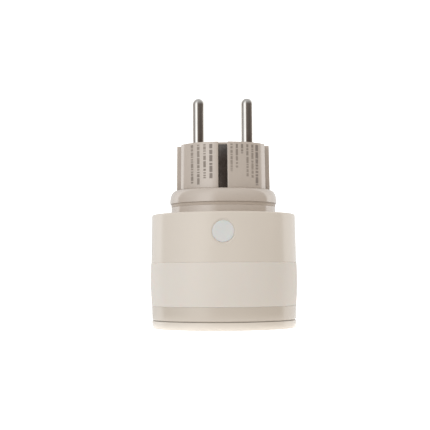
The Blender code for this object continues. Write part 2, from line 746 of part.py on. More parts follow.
def build():
    for obj in list(bpy.data.objects):
        bpy.data.objects.remove(obj)
    plug_head()
    pins()
    pin_carrier()
    head_earth_parts()
    busbars()
    rear_housing()
    neck_ring()
    light_band()
    seals()
    front_ring()
    housing_screws()
    socket_cup()
    earth_clips()
    contact_carrier()
    contacts()
    shutter = child_shutter()
    carry(pivot("shutter_axis", 0, 0, 25.2), shutter)
    shutter_spring()
    main_board()
    board_components()
    lights()
    button_group()
    lid_group()
    lid_spring()


build()
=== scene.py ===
"""Looks of the plug-in power meter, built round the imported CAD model.

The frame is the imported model's: metres, +Z towards the pins, -Y towards the button, +Y towards the hinge.
Lengths in the functions below are in millimetres, and MM turns them into metres when a mesh is made.
"""

import json
import math
import random

import bmesh
import bpy
from mathutils import Matrix, Vector


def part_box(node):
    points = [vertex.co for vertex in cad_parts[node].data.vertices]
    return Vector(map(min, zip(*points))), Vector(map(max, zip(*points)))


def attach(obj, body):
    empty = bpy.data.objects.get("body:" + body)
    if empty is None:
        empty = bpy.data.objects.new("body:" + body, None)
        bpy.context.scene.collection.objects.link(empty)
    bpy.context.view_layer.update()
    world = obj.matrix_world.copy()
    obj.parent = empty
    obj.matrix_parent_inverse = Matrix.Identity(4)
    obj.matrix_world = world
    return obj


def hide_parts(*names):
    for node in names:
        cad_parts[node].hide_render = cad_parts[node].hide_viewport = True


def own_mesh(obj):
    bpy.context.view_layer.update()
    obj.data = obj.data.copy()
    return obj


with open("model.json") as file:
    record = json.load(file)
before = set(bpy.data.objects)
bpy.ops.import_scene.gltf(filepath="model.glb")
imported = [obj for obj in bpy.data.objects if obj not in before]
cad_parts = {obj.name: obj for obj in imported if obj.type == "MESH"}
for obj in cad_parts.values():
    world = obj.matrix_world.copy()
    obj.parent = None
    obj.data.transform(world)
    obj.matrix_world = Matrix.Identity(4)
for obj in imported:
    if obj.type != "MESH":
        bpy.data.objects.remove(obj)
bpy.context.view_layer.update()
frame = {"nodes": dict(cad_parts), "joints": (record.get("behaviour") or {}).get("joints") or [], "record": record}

MM = 0.001
HOUSING, LID, BUTTON = "housing", "lid", "button"


def box_mm(node):
    low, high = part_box(node)
    return low / MM, high / MM


def middle_mm(node):
    low, high = box_mm(node)
    return (low + high) / 2


# ---------------------------------------------------------------- the CAD's sizes, read from its nodes

BAND_LOW, BAND_HIGH = box_mm("light_band")
HEAD_HIGH = box_mm("plug_head")[1]

LID_R = box_mm("lid")[1].x
RING_Z1 = box_mm("front_ring")[1].z
BAND_Z0, BAND_Z1, BAND_R = BAND_LOW.z, BAND_HIGH.z, BAND_HIGH.x
NECK_TOP = box_mm("neck_ring")[1].z
SHELL_R = box_mm("rear_housing")[1].x
FLANGE_R, HEAD_TOP = HEAD_HIGH.x, HEAD_HIGH.z
PIN_TIP = box_mm("neutral_pin")[1].z
PIN_X = middle_mm("neutral_pin").x
BUTTON_Z = middle_mm("button_cap").z
BUTTON_FACE_Y = box_mm("button_cap")[0].y
HINGE = next(j for j in frame["joints"] if j["name"] == "lid_hinge")["pos_m"]
HINGE_Y, HINGE_Z = HINGE[1] / MM, HINGE[2] / MM
SCREWS = [middle_mm(f"housing_screw_{i}") for i in (1, 2, 3, 4)]

# heights and radii that a box can't give
LID_TOP = 3.0
RING_Z0 = 3.4
RIM_Z, RECESS_R, RECESS_FLOOR, CUP_TOP = 4.6, 19.5, 22.1, 24.3
SHOULDER_Z = 43.8
NECK_R = 20.33
FLANGE_LOW, FLANGE_TOP = 47.9, 53.1
HEAD_R, HEAD_TAPER, HEAD_FOOT = 18.3, 0.986, FLANGE_TOP - 0.6
PIN_R = 2.4
EARTH_HOLE_Y, EARTH_HOLE_R = 10.0, 3.3
SLEEVE_BORE, SLEEVE_R = 2.95, 3.2
STRIP_FLOOR = 15.58
BUTTON_SINK = 0.22
KNUCKLE_R, HINGE_BORE_R = 1.8, 1.0
CONTACT_HOLE_R = 3.0

# facets of the large round pieces
ROUND = 224


# ---------------------------------------------------------------- mesh helpers


def rounded(corners, closed=True, steps=5):
    """Rounds a polyline's corners. Each corner is (x, y) or (x, y, radius)."""
    points, count = [], len(corners)
    for i, corner in enumerate(corners):
        here = Vector(corner[:2])
        radius = corner[2] if len(corner) > 2 else 0
        if radius == 0 or (not closed and i in (0, count - 1)):
            points.append(tuple(here))
            continue
        to_before = (Vector(corners[i - 1][:2]) - here).normalized()
        to_after = (Vector(corners[(i + 1) % count][:2]) - here).normalized()
        half = to_before.angle(to_after) / 2
        reach = radius / math.tan(half)
        centre = here + (to_before + to_after).normalized() * radius / math.sin(half)
        start = here + to_before * reach - centre
        end = here + to_after * reach - centre
        sweep = start.angle_signed(end)
        for k in range(steps + 1):
            turn = Matrix.Rotation(-sweep * k / steps, 2)
            points.append(tuple(centre + turn @ start))
    return points


def arc(radius, start, end, count, centre=(0, 0)):
    angles = [math.radians(start + (end - start) * k / count) for k in range(count + 1)]
    return [(centre[0] + radius * math.cos(a), centre[1] + radius * math.sin(a)) for a in angles]


def finished(name, bm, smooth=32):
    bmesh.ops.remove_doubles(bm, verts=bm.verts, dist=1e-8)
    bmesh.ops.recalc_face_normals(bm, faces=bm.faces)
    mesh = bpy.data.meshes.new(name)
    bm.to_mesh(mesh)
    bm.free()
    mesh.shade_smooth()
    mesh.set_sharp_from_angle(angle=math.radians(smooth))
    obj = bpy.data.objects.new(name, mesh)
    bpy.context.scene.collection.objects.link(obj)
    return obj


def lathe(name, profile, steps=ROUND, smooth=32):
    """Turns a profile of (radius, height) about Z. It is a loop, or runs from axis to axis."""
    bm = bmesh.new()
    rings = []
    for r, z in profile:
        if r < 1e-6:
            rings.append([bm.verts.new((0, 0, z * MM))])
            continue
        angles = [2 * math.pi * k / steps for k in range(steps)]
        rings.append([bm.verts.new((r * math.cos(a) * MM, r * math.sin(a) * MM, z * MM)) for a in angles])
    pairs = list(zip(rings, rings[1:]))
    if len(rings[0]) > 1:
        pairs.append((rings[-1], rings[0]))
    for low, high in pairs:
        for k in range(steps):
            quad = [low[k % len(low)], low[(k + 1) % len(low)], high[(k + 1) % len(high)], high[k % len(high)]]
            corners = list(dict.fromkeys(quad))
            if len(corners) > 2:
                bm.faces.new(corners)
    return finished(name, bm, smooth)


def stack(name, rings, smooth=32):
    """Skins a stack of matching closed outlines, each a list of (x, y, z), and caps both ends."""
    bm = bmesh.new()
    rows = [[bm.verts.new(Vector(p) * MM) for p in ring] for ring in rings]
    count = len(rows[0])
    for low, high in zip(rows, rows[1:]):
        for k in range(count):
            bm.faces.new((low[k], low[(k + 1) % count], high[(k + 1) % count], high[k]))
    bm.faces.new(rows[0])
    bm.faces.new(rows[-1])
    return finished(name, bm, smooth)


def inset(outline, depth):
    """Moves a counter-clockwise outline inwards by depth."""
    moved, count = [], len(outline)
    for i, point in enumerate(outline):
        here = Vector(point)
        a = (here - Vector(outline[i - 1])).normalized()
        b = (Vector(outline[(i + 1) % count]) - here).normalized()
        normal_a, normal_b = Vector((-a.y, a.x)), Vector((-b.y, b.x))
        middle = (normal_a + normal_b).normalized()
        moved.append(tuple(here + middle * depth / max(middle.dot(normal_a), 0.4)))
    return moved


def slab(name, outline, low, high, edge=0.0, axis="Z", smooth=32):
    """An outline raised from low to high along an axis, its two rims rounded by edge."""
    steps = 4
    levels = []
    for start, sign in ((low, 1), (high, -1)):
        rows = []
        for k in range(steps + 1 if edge else 1):
            turn = math.radians(90 * k / steps)
            rows.append((edge * (1 - math.sin(turn)), start + sign * edge * (1 - math.cos(turn))))
        levels += rows if sign == 1 else rows[::-1]
    place = {
        "Z": lambda x, y, z: (x, y, z),
        "X": lambda y, z, x: (x, y, z),
        "Y": lambda x, z, y: (x, y, z),
    }[axis]
    rings = [[place(u, v, height) for u, v in inset(outline, depth)] for depth, height in levels]
    return stack(name, rings, smooth)


def block(name, low, high, radius=0.3, edge=0.2):
    """A box between two corners with rounded upright corners and rims."""
    outline = rounded(
        [(low[0], low[1], radius), (high[0], low[1], radius), (high[0], high[1], radius), (low[0], high[1], radius)],
        steps=3,
    )
    return slab(name, outline, low[2], high[2], edge)


def stood(obj, direction, spot):
    """Turns a piece made along Z so that it points along a direction from a spot."""
    turn = Vector(direction).to_track_quat("Z", "Y").to_matrix().to_4x4()
    obj.data.transform(Matrix.Translation(Vector(spot) * MM) @ turn)
    return obj


def moved(obj, x=0.0, y=0.0):
    obj.data.transform(Matrix.Translation(Vector((x, y, 0)) * MM))
    return obj


def combine(obj, operation, *others):
    """Joins or cuts and bakes the result into the mesh, so that no helper is left in the scene."""
    for other in others:
        step = obj.modifiers.new("cut", "BOOLEAN")
        step.operation = operation
        step.solver = "EXACT"
        step.object = other
    graph = bpy.context.evaluated_depsgraph_get()
    mesh = bpy.data.meshes.new_from_object(obj.evaluated_get(graph))
    obj.modifiers.clear()
    obj.data = mesh
    for other in others:
        bpy.data.objects.remove(other)
    mesh.set_sharp_from_angle(angle=math.radians(32))
    return obj


def cut(obj, *others):
    return combine(obj, "DIFFERENCE", *others)


def join(obj, *others):
    return combine(obj, "UNION", *others)


def drill(r, low, high, flare=0.0, steps=64):
    """A cutter for a round hole from low to high, its upper rim flared."""
    profile = [(0, low), (r, low), (r, high - flare)]
    if flare:
        profile += [(r + flare * (1 - math.cos(a)), high - flare * (1 - math.sin(a))) for a in (0.5, 1.0, 1.4)]
        profile += [(r + flare * 1.1, high + 0.02)]
    return lathe("drill", [*profile, (profile[-1][0], high + 2), (0, high + 2)], steps)


# ---------------------------------------------------------------- materials


def nodes_of(name):
    made = bpy.data.materials.new(name)
    made.use_nodes = True
    tree = made.node_tree
    return made, tree, tree.nodes["Principled BSDF"]


def noise(tree, scale, detail=3.0, roughness=0.5, stretch=None):
    where = tree.nodes.new("ShaderNodeTexCoord").outputs["Object"]
    if stretch:
        mapping = tree.nodes.new("ShaderNodeMapping")
        mapping.inputs["Scale"].default_value = stretch
        tree.links.new(where, mapping.inputs["Vector"])
        where = mapping.outputs["Vector"]
    made = tree.nodes.new("ShaderNodeTexNoise")
    made.inputs["Scale"].default_value = scale
    made.inputs["Detail"].default_value = detail
    made.inputs["Roughness"].default_value = roughness
    tree.links.new(where, made.inputs["Vector"])
    return made.outputs["Fac"]


def spread(tree, value, low, high, start=0.3, end=0.7):
    node = tree.nodes.new("ShaderNodeMapRange")
    for key, number in (("From Min", start), ("From Max", end), ("To Min", low), ("To Max", high)):
        node.inputs[key].default_value = number
    tree.links.new(value, node.inputs["Value"])
    return node.outputs["Result"]


def tint(tree, value, first, second):
    node = tree.nodes.new("ShaderNodeMix")
    node.data_type = "RGBA"
    node.inputs["A"].default_value = (*first, 1)
    node.inputs["B"].default_value = (*second, 1)
    tree.links.new(value, node.inputs["Factor"])
    return node.outputs["Result"]


def bump(tree, height, distance, strength=1.0, base=None):
    node = tree.nodes.new("ShaderNodeBump")
    node.inputs["Distance"].default_value = distance
    node.inputs["Strength"].default_value = strength
    tree.links.new(height, node.inputs["Height"])
    if base:
        tree.links.new(base, node.inputs["Normal"])
    return node.outputs["Normal"]


def plastic(name, colour, rough, vary=0.03, grain=0.000004, scale=3200, soft=0.0, ior=1.42):
    """Moulded plastic: a faint drift in colour, a fine spark-eroded grain and uneven gloss."""
    made, tree, shader = nodes_of(name)
    drift = spread(tree, noise(tree, 55, 2), 0, 1)
    light = [min(c * (1 + vary), 1) for c in colour]
    dark = [c * (1 - vary) for c in colour]
    tree.links.new(tint(tree, drift, dark, light), shader.inputs["Base Color"])
    gloss = noise(tree, 420, 4, 0.6)
    tree.links.new(spread(tree, gloss, rough * 0.88, rough * 1.12), shader.inputs["Roughness"])
    fine = bump(tree, noise(tree, scale, 2), grain)
    wave = bump(tree, noise(tree, 140, 1), grain * 3, 0.5, fine)
    tree.links.new(wave, shader.inputs["Normal"])
    shader.inputs["IOR"].default_value = ior
    shader.inputs["Subsurface Weight"].default_value = soft
    shader.inputs["Subsurface Scale"].default_value = 0.001
    return made


def metal(name, colour, rough, stretch, vary=0.12, grain=0.000004):
    """Metal with fine drawn lines along one axis and a patchy polish."""
    made, tree, shader = nodes_of(name)
    lines = noise(tree, 2600, 3, 0.6, stretch)
    patches = spread(tree, noise(tree, 300, 4, 0.65), 0, 1, 0.38, 0.68)
    dull = [c * (1 - vary) for c in colour]
    tree.links.new(tint(tree, patches, colour, dull), shader.inputs["Base Color"])
    shader.inputs["Metallic"].default_value = 1.0
    tree.links.new(spread(tree, lines, rough * 0.75, rough * 1.3), shader.inputs["Roughness"])
    tree.links.new(bump(tree, lines, grain, 0.6), shader.inputs["Normal"])
    return made


def board_material(name):
    """Green solder resist with copper tracks that show through faintly."""
    made, tree, shader = nodes_of(name)
    where = tree.nodes.new("ShaderNodeTexCoord").outputs["Object"]
    tracks = tree.nodes.new("ShaderNodeTexBrick")
    tracks.inputs["Scale"].default_value = 420
    tracks.inputs["Mortar Size"].default_value = 0.06
    tracks.inputs["Color1"].default_value = (0.010, 0.105, 0.045, 1)
    tracks.inputs["Color2"].default_value = (0.014, 0.130, 0.055, 1)
    tracks.inputs["Mortar"].default_value = (0.030, 0.220, 0.100, 1)
    tree.links.new(where, tracks.inputs["Vector"])
    tree.links.new(tracks.outputs["Color"], shader.inputs["Base Color"])
    tree.links.new(spread(tree, noise(tree, 900, 2), 0.3, 0.42), shader.inputs["Roughness"])
    tree.links.new(bump(tree, tracks.outputs["Fac"], 0.00002, 0.6), shader.inputs["Normal"])
    return made


BEIGE = (0.680, 0.620, 0.545)
LOOKS = {
    "body_plastic": plastic("body_gloss", BEIGE, 0.2, vary=0.012, grain=0.000001),
    "band_plastic": plastic("band_diffuser", (0.712, 0.664, 0.602), 0.42, vary=0.012, grain=0.000006, soft=0.1),
    "button_plastic": plastic("button_translucent", (0.675, 0.682, 0.668), 0.38, vary=0.02, soft=0.2),
    "socket_plastic": plastic("socket_satin", (0.600, 0.535, 0.455), 0.42, vary=0.02),
    "inner_plastic": plastic("inner_black", (0.030, 0.030, 0.033), 0.5, vary=0.1, grain=0.00001),
    "seal_rubber": plastic("seal_silicone", (0.480, 0.410, 0.345), 0.4, vary=0.04, grain=0.000008),
    "pin_nickel": metal("pin_nickel", (0.70, 0.68, 0.65), 0.12, (1, 1, 0.05), 0.06, 0.000002),
    # the earth strips' metal is given a dark colour as painted shade of the slots they sit in; its patches are uneven
    # polish
    "earth_metal": metal("earth_metal_painted_shade", (0.27, 0.255, 0.245), 0.2, (1, 1, 0.15), 0.4, 0.000012),
    "contact_brass": metal("contact_brass", (0.78, 0.58, 0.26), 0.26, (1, 1, 0.08), 0.1),
    "spring_steel": metal("spring_steel", (0.60, 0.60, 0.61), 0.24, (0.1, 1, 1), 0.1),
    "board_green": board_material("board_green"),
    "relay_blue": plastic("relay_blue", (0.030, 0.090, 0.300), 0.42, vary=0.06, grain=0.000008),
    "component_black": plastic("component_black", (0.020, 0.020, 0.023), 0.45, vary=0.1, grain=0.00001),
    "film_yellow": plastic("film_yellow", (0.620, 0.430, 0.040), 0.36, vary=0.05),
    "can_aluminium": metal("can_aluminium", (0.66, 0.67, 0.68), 0.3, (1, 1, 0.1), 0.08),
    "led_white": plastic("led_lens", (0.800, 0.800, 0.740), 0.2, vary=0.03),
}
LOOKS["head_plastic"] = plastic("head_gloss", (0.545, 0.480, 0.420), 0.12, vary=0.012, grain=0.000001, ior=1.8)
# The lower ring is the body's plastic; this darker copy of it is painted shade, for the lesser light that reaches the
# ring
RING_SHADED_BODY_PLASTIC = plastic("ring_gloss_painted_shade", (0.592, 0.530, 0.455), 0.22, vary=0.012, grain=0.000001, ior=1.55)
BOLD_INK = plastic("pad_print_dark", (0.240, 0.205, 0.180), 0.4, vary=0.25, scale=5200)
FINE_INK = plastic("pad_print_grey", (0.280, 0.240, 0.205), 0.4, vary=0.25, scale=5200)


def dressed(obj, body, slot, *stands_for, look=None):
    """Gives a piece the material of its slot, puts it in its body and hides the CAD nodes that it stands for."""
    obj.data.materials.clear()
    obj.data.materials.append(look or LOOKS[slot])
    for polygon in obj.data.polygons:
        polygon.material_index = 0
    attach(obj, body)
    if stands_for:
        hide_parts(*stands_for)
    return obj


# ---------------------------------------------------------------- plug head


def head_outline():
    """Two round lobes with a flat and a guide rib on each side, and an earth slot front and back."""
    radius, flat, rib = HEAD_R, 16.25, 2.3
    slot, floor = 1.72, 15.55
    lobe = math.degrees(math.acos(flat / radius))
    mouth = math.degrees(math.acos(slot / radius))
    half = [
        (flat, -rib, 0.25),
        (radius - 0.15, -rib, 0.4),
        (radius - 0.05, 0),
        (radius - 0.15, rib, 0.4),
        (flat, rib, 0.25),
    ]
    first = arc(radius, lobe, mouth, 22)
    second = arc(radius, 180 - mouth, 180 - lobe, 22)
    half += [(*first[0], 0.45), *first[1:-1], (*first[-1], 0.4)]
    half += [(slot, floor, 0.12), (-slot, floor, 0.12)]
    half += [(*second[0], 0.4), *second[1:-1], (*second[-1], 0.45)]
    whole = half + [(-p[0], -p[1], *p[2:]) for p in half]
    return rounded(whole, steps=4)


def lean(z):
    """How much narrower the head is at a height than at its foot."""
    return 1 - (1 - HEAD_TAPER) * (z - HEAD_FOOT) / (HEAD_TOP - HEAD_FOOT)


def head_block():
    outline = head_outline()
    edge, groove = 0.16, FLANGE_TOP + 0.14
    levels = [(0.12, HEAD_FOOT), (0.12, groove - 0.06), (0.03, groove), (0, groove + 0.08)]
    levels += [(0, 58.0), (0, 63.0), (0, 67.0)]
    for k in range(6):
        turn = math.radians(18 * k)
        levels.append((edge * (1 - math.cos(turn)), HEAD_TOP - edge * (1 - math.sin(turn))))
    rings = []
    for depth, z in levels:
        rings.append([(x * lean(z), y * lean(z), z) for x, y in inset(outline, depth)])
    return stack("plug_block", rings)


def plug_head():
    across, tall = 2.2, 4.3
    turns = [math.radians(a) for a in range(0, 91, 6)]
    shoulder = [(FLANGE_R - across + across * math.cos(a), FLANGE_TOP - tall + tall * math.sin(a)) for a in turns]
    rim = rounded(
        [(0, 43.3), (18.2, 43.3), (18.2, FLANGE_LOW), (FLANGE_R, FLANGE_LOW, 0.1), (FLANGE_R, FLANGE_TOP - 4.6)],
        closed=False,
    )
    seat = [(17.2, FLANGE_TOP), (17.2, FLANGE_TOP - 0.12), (0, FLANGE_TOP - 0.12)]
    body = lathe("plug_head_body", [*rim, *shoulder, *seat])
    join(body, head_block())
    holes = [moved(drill(PIN_R + 0.1, HEAD_TOP - 2.2, HEAD_TOP, 0.25), x) for x in (-PIN_X, PIN_X)]
    for near, far in ((-18.4, -15.56), (15.56, 18.4)):
        holes.append(block("slot_foot", (-1.71, near, 52.8), (1.71, far, 54.0), 0.1, 0.0))
    holes.append(moved(drill(EARTH_HOLE_R, HEAD_TOP - 14.5, HEAD_TOP, 0.35), y=EARTH_HOLE_Y))
    return dressed(cut(body, *holes), HOUSING, "head_plastic", "plug_head")


def pins():
    """Nickel-plated pins with a domed tip and a turned root."""
    for name, node, x in (("pin_left", "live_pin", -PIN_X), ("pin_right", "neutral_pin", PIN_X)):
        dome = arc(PIN_R, 0, 90, 14, (0, PIN_TIP - PIN_R))
        profile = [(0, 57.4), (PIN_R - 0.1, 57.4), (PIN_R, 57.6), (PIN_R, HEAD_TOP + 6), *dome[:-1], (0, PIN_TIP)]
        pin = moved(lathe(name, profile, 96, 40), x)
        dressed(pin, HOUSING, "pin_nickel", node)


def earth_strips():
    """The side contacts in the head's slots, bowed outwards with the top end turned in, and the earth pin's sleeve."""
    low, high = 52.9, 69.7
    bow = [(16.1, low), (16.25, 56.0), (16.45, 60.0), (16.58, 63.0), (16.6, 65.0)]
    turned_in = [(16.42, 67.0), (16.08, 68.6), (15.7, high)]
    profile = [*bow, *turned_in, (STRIP_FLOOR, high), (STRIP_FLOOR, low)]
    for name, node, side in (
        ("earth_strip_front", "earth_contact_front", -1),
        ("earth_strip_back", "earth_contact_back", 1),
    ):
        outline = [(side * y, z) for y, z in profile]
        if side < 0:
            outline.reverse()
        strip = slab(name, outline, -1.62, 1.62, 0.04, axis="X")
        # the strips' dark colour is painted shade of the slot
        dressed(strip, HOUSING, "earth_metal", node)
    ends = [(SLEEVE_BORE, 57.1, 0.06), (SLEEVE_R, 57.1, 0.06), (SLEEVE_R, high, 0.1), (SLEEVE_BORE, high, 0.1)]
    sleeve = moved(lathe("earth_pin_sleeve", rounded(ends, steps=3), 64), y=EARTH_HOLE_Y)
    dressed(sleeve, HOUSING, "contact_brass", "earth_sleeve")


def head_marks():
    """Rows of plain dashes on the head's front, in place of the small print such a plug carries."""
    dice = random.Random(11)
    tones = (("head_marks_bold", BOLD_INK, bmesh.new()), ("head_marks_fine", FINE_INK, bmesh.new()))
    bold, fine = 0, 1
    rows = [
        (-4.5, 1.15, 13.0, bold),
        (-6.9, 0.95, 13.4, fine),
        (-9.3, 0.95, 15.4, fine),
        (-11.7, 0.9, 14.6, fine),
        (3.3, 0.8, 10.4, fine),
        (5.3, 0.8, 9.6, fine),
        (7.3, 0.8, 3.6, fine),
        (9.3, 0.8, 12.2, fine),
        (11.2, 0.8, 12.6, fine),
        (12.9, 1.0, 15.4, bold),
    ]
    for x, width, length, tone in rows:
        z = HEAD_TOP - 0.9
        end = z - length
        while z > end:
            dash = min(dice.choice((0.5, 0.8, 1.2, 1.7, 2.4)), z - end)
            if dash > 0.3:
                add_dash(tones[tone][2], x, width, z - dash, z)
            z -= dash + dice.choice((0.3, 0.35, 0.5))
    for name, look, bm in tones:
        dressed(finished(name, bm), HOUSING, None, look=look)


def add_dash(bm, x, width, low, high):
    """A thin curved patch that stands 0.02 mm proud of the head's round front."""
    corners = []
    for proud in (-0.05, 0.02):
        for z in (low, high):
            radius = HEAD_R * lean(z) + proud
            for k in range(3):
                px = x + width * (k / 2 - 0.5)
                corners.append(bm.verts.new(Vector((px, -math.sqrt(radius**2 - px**2), z)) * MM))
    inner_low, inner_high, outer_low, outer_high = (corners[i : i + 3] for i in (0, 3, 6, 9))
    rings = (inner_low, outer_low, outer_high, inner_high)
    for a, b in zip(rings, rings[1:] + rings[:1]):
        for k in (0, 1):
            bm.faces.new((a[k], a[k + 1], b[k + 1], b[k]))
    for k in (0, 2):
        bm.faces.new([ring[k] for ring in rings])


# ---------------------------------------------------------------- housing


def housing_shell():
    """The wall and shoulder above the band, with a dished opening for the button."""
    low = BAND_Z1 + 0.02
    wall_top = 27.86
    profile = rounded(
        [
            (26.0, low + 0.3),
            (26.6, low, 0.1),
            (SHELL_R + 0.01, low, 0.06),
            (wall_top, SHOULDER_Z, 0.75),
            (18.7, SHOULDER_Z, 0.2),
            (18.7, 42.0),
            (25.7, 42.0),
        ],
        steps=7,
    )
    split, parts = [], 12
    for a, b in zip(profile, profile[1:] + profile[:1]):
        split.append(a)
        outer_wall = a[0] > 27 and b[0] > 27 and abs(b[1] - a[1]) > 3
        if outer_wall:
            steps = range(1, parts)
            split += [(a[0] + (b[0] - a[0]) * k / parts, a[1] + (b[1] - a[1]) * k / parts) for k in steps]
    shell = lathe("housing_shell", split, 256)
    dish = [(0, 20.0), (4.06, 20.0), (4.06, 27.5), (4.2, 27.52), (4.4, 27.59), (4.58, 27.71), (4.72, 27.85)]
    dish += [(4.84, 28.02), (5.0, 28.2), (5.3, 28.5), (0, 28.5)]
    cutter = stood(lathe("button_dish", dish, 128), (0, -1, 0), (0, 0, BUTTON_Z))
    dressed(cut(shell, cutter), HOUSING, "body_plastic", "rear_housing")


def light_band():
    """The barrel-shaped band, widest at its middle."""
    top, low = BAND_Z1 + 0.01, BAND_Z0 - 0.12
    outer = [(28.10, 9.4), (28.22, 11.0), (28.34, 13.0), (28.43, 15.4), (BAND_R, 18.2), (28.47, 20.6), (28.41, 22.8)]
    rim = rounded([(26.6, low), (28.0, low, 0.12), *outer, (28.34, top, 0.16), (26.6, top)], steps=6)
    dressed(lathe("light_band_ring", rim), HOUSING, "band_plastic", "light_band")


def neck():
    """The ring that stands on the shoulder, and the seal between it and the flange."""
    low, high = SHOULDER_Z + 0.02, NECK_TOP + 0.25
    rim = rounded([(18.8, low), (NECK_R, low), (NECK_R, high, 0.07), (18.8, high)], steps=4)
    dressed(lathe("neck_collar", rim), HOUSING, "head_plastic", "neck_ring")
    low, high = NECK_TOP + 0.27, FLANGE_LOW - 0.01
    rim = rounded([(18.9, low), (NECK_R, low, 0.07), (NECK_R, high, 0.04), (18.9, high)], steps=4)
    dressed(lathe("neck_seal", rim), HOUSING, "seal_rubber", "head_seal")


def hinge_lug(name, x0, x1):
    top = 7.4
    left = HINGE_Y - KNUCKLE_R
    loop = arc(KNUCKLE_R, 180, 360, 16, (HINGE_Y, HINGE_Z))
    outline = [(left, top), *loop, (HINGE_Y + 1.25, 7.0), (HINGE_Y + 1.1, top)]
    return slab(name, outline, x0, x1, 0.15, axis="X")


def hinge_bore(reach):
    """A cutter along the hinge's axis."""
    profile = [(0, -reach), (HINGE_BORE_R, -reach), (HINGE_BORE_R, reach), (0, reach)]
    return stood(lathe("bore", profile, 48), (1, 0, 0), (0, HINGE_Y, HINGE_Z))


def screw_hole(name, radius, low, high, spot):
    return moved(lathe(name, [(0, low), (radius, low), (radius, high), (0, high)], 48), spot.x, spot.y)


def socket_ring():
    """The lower ring, with a lip behind the gap over the lid, a notch and two lugs for the hinge, and screw holes."""
    lip_r, lip_z = 27.5, 3.12
    profile = rounded(
        [
            (21.7, 6.4, 0.15),
            (22.5, 6.4),
            (22.5, RIM_Z, 0.2),
            (26.2, RIM_Z, 0.1),
            (26.2, lip_z, 0.05),
            (lip_r, lip_z, 0.1),
            (lip_r, RING_Z0),
            (27.9, RING_Z0, 0.2),
            (28.02, RING_Z1 + 0.16, 0.1),
            (21.7, RING_Z1 + 0.16),
        ],
        steps=5,
    )
    ring = lathe("socket_ring", profile)
    cut(ring, block("notch", (-8.0, 23.0, 1.0), (8.0, 31.0, 6.75), 0.5, 0.0))
    join(ring, hinge_lug("lug_a", -7.6, -4.9), hinge_lug("lug_b", 4.9, 7.6))
    holes = [hinge_bore(7.9)]
    for spot in SCREWS:
        holes.append(screw_hole("counterbore", 1.65, 3.0, 6.8, spot))
        holes.append(screw_hole("shank_hole", 1.2, 6.0, 10.0, spot))
    # the ring takes the darker copy of the body plastic, whose colour is painted shade
    dressed(cut(ring, *holes), HOUSING, "body_plastic", "front_ring", look=RING_SHADED_BODY_PLASTIC)


def screws():
    """Pan-head screws with a six-lobed recess."""
    for number, spot in enumerate(SCREWS, 1):
        profile = rounded(
            [(0, 5.0), (1.45, 5.0, 0.35), (1.45, 6.4, 0.1), (1.0, 6.4), (1.0, 20.5), (0, 21.5)], closed=False, steps=5
        )
        screw = lathe("screw", profile, 48)
        lobes = []
        for k in range(48):
            angle = 2 * math.pi * k / 48
            radius = 0.72 + 0.13 * math.cos(6 * angle)
            lobes.append((radius * math.cos(angle), radius * math.sin(angle)))
        cut(screw, slab("recess", lobes, 4.0, 5.85))
        screw.name = f"ring_screw_{number}"
        dressed(moved(screw, spot.x, spot.y), HOUSING, "spring_steel", f"housing_screw_{number}")


# ---------------------------------------------------------------- button


def button_disc():
    """The push button: a soft disc, very slightly dished, with a rounded rim and a hidden flange."""
    face = -BUTTON_FACE_Y - BUTTON_SINK
    flat_r, rim_width, rim_drop = 3.5, 0.53, 0.16
    dish = [(0, face - 0.10), (1.2, face - 0.09), (2.3, face - 0.05), (3.1, face - 0.01), (flat_r, face)]
    turns = (0.25, 0.5, 0.75, 1.0, 1.3, 1.5707)
    rim = [(flat_r + rim_width * math.sin(a), face - rim_drop * (1 - math.cos(a))) for a in turns]
    back = [(4.03, 25.0), (4.8, 25.0), (4.8, 24.4), (1.2, 24.4), (1.2, 23.6), (0, 23.6)]
    disc = stood(lathe("button_disc", [*dish, *rim, *back], 96), (0, -1, 0), (0, 0, BUTTON_Z))
    dressed(disc, BUTTON, "button_plastic", "button_cap")


# ---------------------------------------------------------------- lid


def lid_disc():
    """The lid: a disc with a locating rib, a straight back edge, a hinge tongue and a sealing bead."""
    top = LID_TOP
    profile = rounded(
        [
            (0, 0),
            (LID_R, 0, 0.3),
            (LID_R, 1.4),
            (LID_R, top, 0.25),
            (23.0, top, 0.05),
            (23.0, 4.2, 0.15),
            (22.35, 4.2, 0.15),
            (22.35, top, 0.05),
            (0, top),
        ],
        closed=False,
        steps=8,
    )
    disc = lathe("lid_disc", profile)
    cut(disc, block("chord", (-17.0, 24.2, -1.0), (17.0, 31.0, 6.0), 0.3, 0.0))
    tongue = [
        (21.5, 0.2),
        (22.4, 0.0),
        (HINGE_Y - 0.9, 0.0),
        (HINGE_Y - 0.3, 0.25),
        *arc(KNUCKLE_R, -20, 180, 24, (HINGE_Y, HINGE_Z)),
        (HINGE_Y - KNUCKLE_R, top),
        (21.5, top),
    ]
    join(disc, slab("tongue", tongue, -4.6, 4.6, 0.15, axis="X"))
    cut(disc, block("spring_room", (-2.7, 23.3, 2.6), (2.7, 29.0, 8.0), 0.3, 0.0), hinge_bore(6.0))
    dressed(disc, LID, "body_plastic", "lid")

    low, high = 3.05, 4.3
    inner, outer = 20.3, 22.05
    ridge = [(outer, high, 0.35), (21.55, high - 0.1), (21.0, high, 0.35)]
    bead = rounded([(inner, low), (outer, low), *ridge, (inner, 3.9, 0.2)])
    dressed(lathe("lid_seal", bead), LID, "seal_rubber", "lid_gasket")


